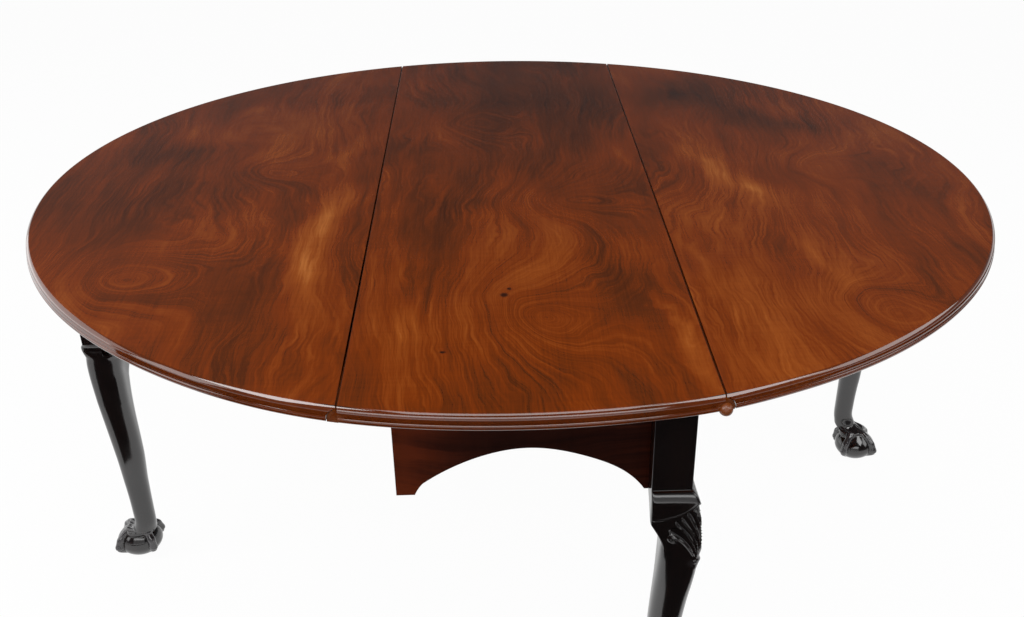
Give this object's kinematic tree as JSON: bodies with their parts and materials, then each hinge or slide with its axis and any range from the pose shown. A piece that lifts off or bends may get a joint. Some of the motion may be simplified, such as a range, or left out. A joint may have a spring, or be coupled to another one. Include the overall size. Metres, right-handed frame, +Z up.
{
  "type": "drop-leaf dining table",
  "caption": "Round dining table of three boards with two hinged drop leaves on swing-leg gates, arched aprons and cabriole legs ending in ball-and-claw feet.",
  "frame": {"origin": "on the floor under the middle of the round top", "axes": "+Z up, +Y along the seams between the boards toward the back apron, +X toward the right-hand leaf"},
  "size_m": [1.6784, 1.678, 0.71],
  "materials": {
    "top_mahogany": "old polished mahogany, figured, reddish brown, semi-gloss",
    "apron_mahogany": "dark polished mahogany",
    "leg_mahogany": "nearly black polished mahogany",
    "rail_wood": "dark stained hardwood, dull",
    "inner_oak": "unfinished aged secondary wood",
    "peg_wood": "dark hardwood pegs cut flush",
    "hinge_iron": "dark wrought iron"
  },
  "bodies": {
    "frame": {"back_apron": "apron_mahogany", "back_left_leg": "leg_mahogany", "corner_glue_blocks": "inner_oak", "fixed_leg_pegs": "peg_wood", "front_apron": "apron_mahogany", "front_right_leg": "leg_mahogany", "left_hinge_board_flaps": "hinge_iron", "left_hinge_board_screws": "hinge_iron", "left_hinge_pins": "hinge_iron", "left_inner_rail": "inner_oak", "left_knuckle_pin": "hinge_iron", "left_knuckle_rail": "rail_wood", "left_packing_rail": "inner_oak", "middle_cross_rail": "inner_oak", "right_hinge_board_flaps": "hinge_iron", "right_hinge_board_screws": "hinge_iron", "right_hinge_pins": "hinge_iron", "right_inner_rail": "inner_oak", "right_knuckle_pin": "hinge_iron", "right_knuckle_rail": "rail_wood", "right_packing_rail": "inner_oak", "top_center_board": "top_mahogany", "top_fixing_screws": "hinge_iron", "top_glue_blocks": "inner_oak"},
    "left_gate": {"left_swing_rail": "rail_wood", "left_gate_leg": "leg_mahogany", "left_gate_pegs": "peg_wood"},
    "left_leaf": {"left_leaf": "top_mahogany", "left_hinge_leaf_flaps": "hinge_iron", "left_hinge_leaf_screws": "hinge_iron"},
    "right_gate": {"right_swing_rail": "rail_wood", "right_gate_leg": "leg_mahogany", "right_gate_pegs": "peg_wood"},
    "right_leaf": {"right_leaf": "top_mahogany", "right_hinge_leaf_flaps": "hinge_iron", "right_hinge_leaf_screws": "hinge_iron"}
  },
  "joints": [
    {"name": "left_gate_swing", "type": "hinge", "parent": "frame", "child": "left_gate", "pos_m": [-0.222, -0.145, 0.6], "axis": [0, 0, 1], "range_deg": [0, 90]},
    {"name": "right_gate_swing", "type": "hinge", "parent": "frame", "child": "right_gate", "pos_m": [0.222, 0.145, 0.6], "axis": [0, 0, 1], "range_deg": [0, 90]},
    {"name": "left_leaf_hinge", "type": "hinge", "parent": "frame", "child": "left_leaf", "pos_m": [-0.24325, 0, 0.692], "axis": [0, -1, 0], "range_deg": [-3, 0]},
    {"name": "right_leaf_hinge", "type": "hinge", "parent": "frame", "child": "right_leaf", "pos_m": [0.24325, 0, 0.692], "axis": [0, 1, 0], "range_deg": [-3, 0]}
  ]
}
